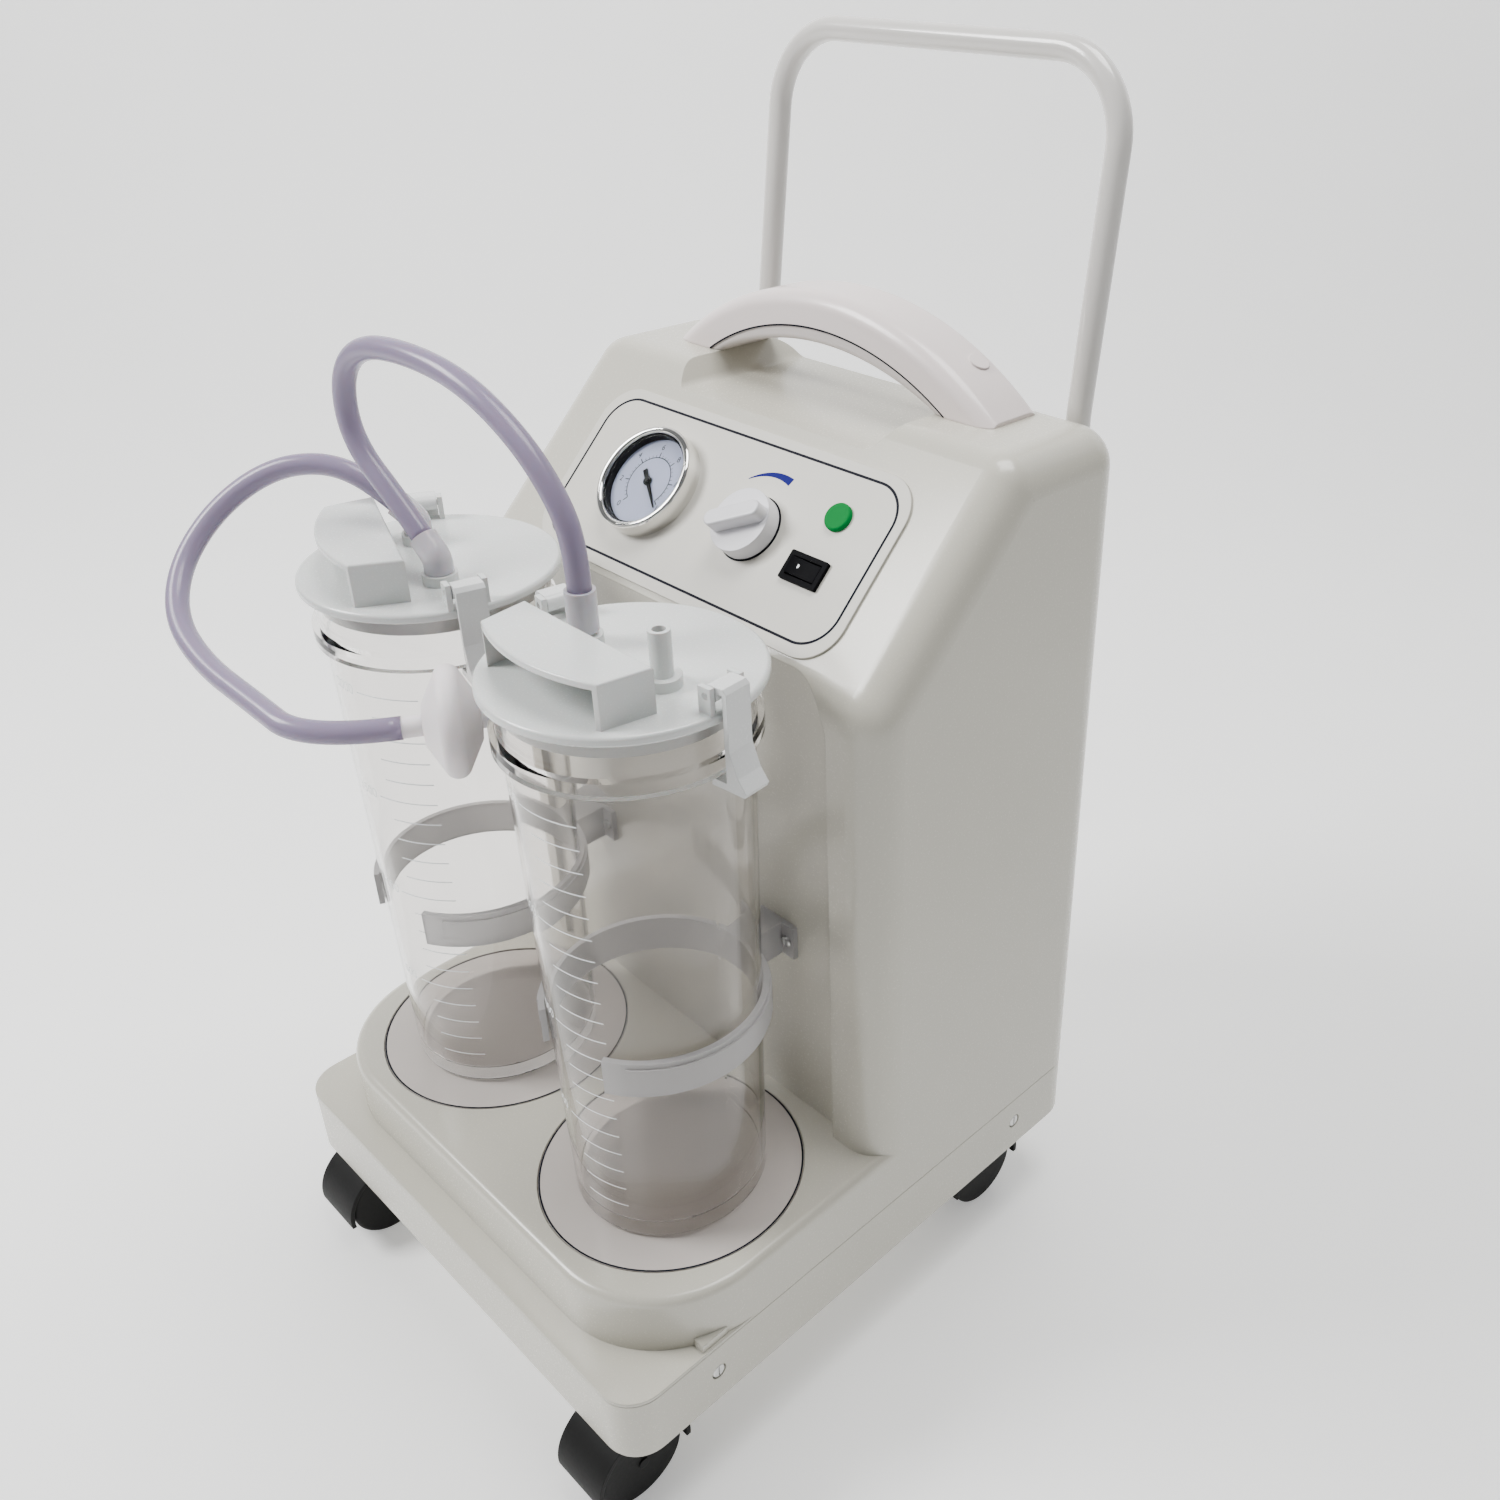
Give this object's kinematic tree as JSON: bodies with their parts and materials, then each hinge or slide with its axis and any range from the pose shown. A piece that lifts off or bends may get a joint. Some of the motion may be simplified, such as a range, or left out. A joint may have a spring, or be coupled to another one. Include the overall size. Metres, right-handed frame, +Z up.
{
  "type": "medical suction pump",
  "caption": "Mobile hospital suction pump: wheeled cabinet with sloping vacuum control panel, two latched collection jars, linking hoses, bacteria filter, carry and push handles.",
  "frame": {"origin": "on the floor, under the middle of the box that holds the object without its hoses", "axes": "+X right seen from the front, -Y towards the user and the jars, +Z up"},
  "size_m": [0.3367, 0.404, 0.6712],
  "materials": {
    "housing": "warm off-white glossy moulding",
    "seat_disc": "beige round seat",
    "jar_clear": "clear, slightly smoky",
    "gasket_rubber": "matte",
    "lid_white": "cool white",
    "pin_steel": "bright",
    "float_orange": "bright",
    "clip_plastic": "translucent grey-white",
    "screw_steel": "dull",
    "filter_white": "soft white",
    "hose_silicone": "translucent lavender silicone",
    "push_paint": "white gloss paint",
    "black_plastic": "black",
    "caster_tread": "black",
    "gauge_black": "black",
    "gauge_chrome": "polished",
    "gauge_dial": "pale dial",
    "gauge_glass": "clear",
    "knob_white": "white",
    "valve_brass": "machined",
    "lamp_green": "green lens",
    "motor_grey": "grey paint",
    "rotor_steel": "laminations",
    "pipe_grey": "plain"
  },
  "bodies": {
    "chassis": {"bacteria_filter": "filter_white", "base_tray": "housing", "carry_handle": "housing", "clip_screws": "screw_steel", "control_panel": "housing", "float_cage": "lid_white", "gauge_bezel": "gauge_chrome", "gauge_case": "gauge_black", "gauge_dial": "gauge_dial", "gauge_glass": "gauge_glass", "handle_clamps": "black_plastic", "handle_grip": "housing", "hose_elbow_link": "lid_white", "hose_elbow_loop": "lid_white", "hose_link": "hose_silicone", "hose_loop": "hose_silicone", "hose_stub": "hose_silicone", "jar_clip_left": "clip_plastic", "jar_clip_right": "clip_plastic", "jar_gasket_left": "gasket_rubber", "jar_left": "jar_clear", "jar_seats": "seat_disc", "latch_pins_left": "pin_steel", "lid_left": "lid_white", "motor_housing": "motor_grey", "power_inlet": "black_plastic", "power_lamp": "lamp_green", "pump_heads": "motor_grey", "push_handle": "push_paint", "rear_cover": "housing", "rear_screws": "screw_steel", "regulator_valve": "valve_brass", "rubber_mounts": "gasket_rubber", "skirt_screws": "screw_steel", "switch_frame": "black_plastic", "upper_housing": "housing", "vacuum_inlet": "lid_white", "vacuum_pipes": "pipe_grey"},
    "caster_front_left": {"caster_fork_front_left": "black_plastic"},
    "wheels_front_left": {"caster_wheels_front_left": "caster_tread"},
    "caster_front_right": {"caster_fork_front_right": "black_plastic"},
    "wheels_front_right": {"caster_wheels_front_right": "caster_tread"},
    "caster_rear_left": {"caster_fork_rear_left": "black_plastic"},
    "wheels_rear_left": {"caster_wheels_rear_left": "caster_tread"},
    "caster_rear_right": {"caster_fork_rear_right": "black_plastic"},
    "wheels_rear_right": {"caster_wheels_rear_right": "caster_tread"},
    "right_jar": {"jar_right": "jar_clear", "jar_gasket_right": "gasket_rubber", "lid_right": "lid_white", "latch_pins_right": "pin_steel", "hose_cuff": "hose_silicone"},
    "lever_right_outer": {"latch_right_outer": "lid_white"},
    "lever_right_inner": {"latch_right_inner": "lid_white"},
    "lever_left_inner": {"latch_left_inner": "lid_white"},
    "lever_left_outer": {"latch_left_outer": "lid_white"},
    "float": {"overflow_float": "float_orange"},
    "knob": {"regulator_knob": "knob_white"},
    "needle": {"gauge_needle": "gauge_black"},
    "rocker": {"switch_rocker": "black_plastic"},
    "rotor": {"motor_rotor": "rotor_steel"}
  },
  "joints": [
    {"name": "swivel_front_left", "type": "hinge", "parent": "chassis", "child": "caster_front_left", "pos_m": [-0.125, -0.1506, 0.066], "axis": [0, 0, 1], "continuous": true},
    {"name": "spin_front_left", "type": "hinge", "parent": "caster_front_left", "child": "wheels_front_left", "pos_m": [-0.125, -0.1706, 0.025], "axis": [1, 0, 0], "continuous": true},
    {"name": "swivel_front_right", "type": "hinge", "parent": "chassis", "child": "caster_front_right", "pos_m": [0.125, -0.1506, 0.066], "axis": [0, 0, 1], "continuous": true},
    {"name": "spin_front_right", "type": "hinge", "parent": "caster_front_right", "child": "wheels_front_right", "pos_m": [0.125, -0.1706, 0.025], "axis": [1, 0, 0], "continuous": true},
    {"name": "swivel_rear_left", "type": "hinge", "parent": "chassis", "child": "caster_rear_left", "pos_m": [-0.125, 0.1194, 0.066], "axis": [0, 0, 1], "continuous": true},
    {"name": "spin_rear_left", "type": "hinge", "parent": "caster_rear_left", "child": "wheels_rear_left", "pos_m": [-0.125, 0.0994, 0.025], "axis": [1, 0, 0], "continuous": true},
    {"name": "swivel_rear_right", "type": "hinge", "parent": "chassis", "child": "caster_rear_right", "pos_m": [0.125, 0.1194, 0.066], "axis": [0, 0, 1], "continuous": true},
    {"name": "spin_rear_right", "type": "hinge", "parent": "caster_rear_right", "child": "wheels_rear_right", "pos_m": [0.125, 0.0994, 0.025], "axis": [1, 0, 0], "continuous": true},
    {"name": "right_jar_lift", "type": "slide", "parent": "chassis", "child": "right_jar", "axis": [0, 0, 1], "range_m": [0, 0.06], "deforming": ["hose_link"]},
    {"name": "latch_right_outer_pivot", "type": "hinge", "parent": "right_jar", "child": "lever_right_outer", "pos_m": [0.13738, -0.08653, 0.445], "axis": [0.1045, -0.9945, 0], "range_deg": [0, 100]},
    {"name": "latch_right_inner_pivot", "type": "hinge", "parent": "right_jar", "child": "lever_right_inner", "pos_m": [0.02027, -0.08449, 0.445], "axis": [0.1392, 0.9903, 0], "range_deg": [0, 25]},
    {"name": "latch_left_inner_pivot", "type": "hinge", "parent": "chassis", "child": "lever_left_inner", "pos_m": [-0.02145, -0.10697, 0.445], "axis": [-0.2419, -0.9703, 0], "range_deg": [0, 25]},
    {"name": "latch_left_outer_pivot", "type": "hinge", "parent": "chassis", "child": "lever_left_outer", "pos_m": [-0.13079, -0.065, 0.445], "axis": [0.4695, 0.8829, 0], "range_deg": [0, 100]},
    {"name": "float_rise", "type": "slide", "parent": "chassis", "child": "float", "axis": [0, 0, 1], "range_m": [0, 0.01]},
    {"name": "regulator_turn", "type": "hinge", "parent": "chassis", "child": "knob", "pos_m": [0.031, 0.02376, 0.45096], "axis": [0, 0.7071, -0.7071], "range_deg": [0, 270]},
    {"name": "gauge_sweep", "type": "hinge", "parent": "chassis", "child": "needle", "pos_m": [-0.048, 0.02503, 0.45223], "axis": [0, -0.7071, 0.7071], "range_deg": [0, 270]},
    {"name": "power_rocker", "type": "hinge", "parent": "chassis", "child": "rocker", "pos_m": [0.0775, 0.01563, 0.44566], "axis": [0, 0.7071, 0.7071], "range_deg": [-14, 0]},
    {"name": "motor_spin", "type": "hinge", "parent": "chassis", "child": "rotor", "pos_m": [0, 0.0744, 0.128], "axis": [1, 0, 0], "continuous": true}
  ]
}
